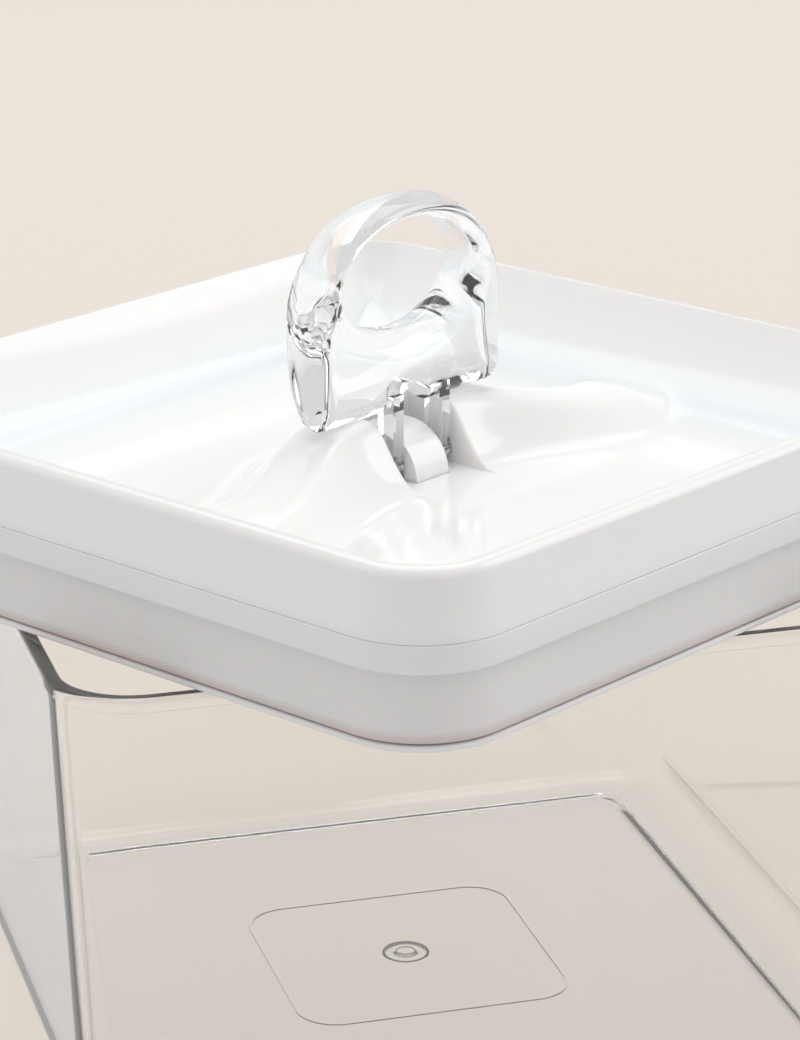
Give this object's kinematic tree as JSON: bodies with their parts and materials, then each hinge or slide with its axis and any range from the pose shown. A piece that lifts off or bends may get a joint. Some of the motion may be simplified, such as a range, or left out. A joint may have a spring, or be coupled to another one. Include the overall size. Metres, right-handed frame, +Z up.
{
  "type": "lidded storage canister",
  "caption": "Clear square storage canister with a white flip-lock lid, gasket and clear finger-ring handle, the lid lying turned on the rim.",
  "frame": {"origin": "centre of the canister's square plan, on the plane its foot stands on", "axes": "+Z up, X and Y along the canister's sides, -Y towards the corner of the lid that stands out"},
  "size_m": [0.2154, 0.2154, 0.1667],
  "materials": {
    "clear_body": "clear, polished",
    "clear_handle": "clear, polished",
    "white_gloss": "glossy",
    "white_satin": "satin",
    "silicone": "translucent, matt",
    "steel": "bright"
  },
  "bodies": {
    "canister": {"canister_body": "clear_body"},
    "lid": {"lid_cover": "white_gloss", "lid_liner": "white_satin", "sealing_gasket": "silicone", "return_spring": "steel"},
    "plate": {"press_plate": "white_satin", "pull_stem": "white_gloss", "plate_screw": "steel", "screw_plug": "silicone"},
    "handle": {"flip_handle": "clear_handle", "pivot_pin": "steel"}
  },
  "joints": [
    {"name": "lid_lift", "type": "slide", "parent": "canister", "child": "lid", "axis": [0, 0, 1], "range_m": [0, 0.15]},
    {"name": "handle_flip", "type": "hinge", "parent": "lid", "child": "handle", "pos_m": [-0.00372, -0.02252, 0.1154], "axis": [0.8443, 0.5358, 0], "range_deg": [0, 90]},
    {"name": "plate_lift", "type": "slide", "parent": "lid", "child": "plate", "axis": [0, 0, 1], "range_m": [0, 0.002], "deforming": ["sealing_gasket", "return_spring"]}
  ],
  "couplings": [
    {"joint": "plate_lift", "follows": "handle_flip", "m_per_rad": 0.001273}
  ]
}
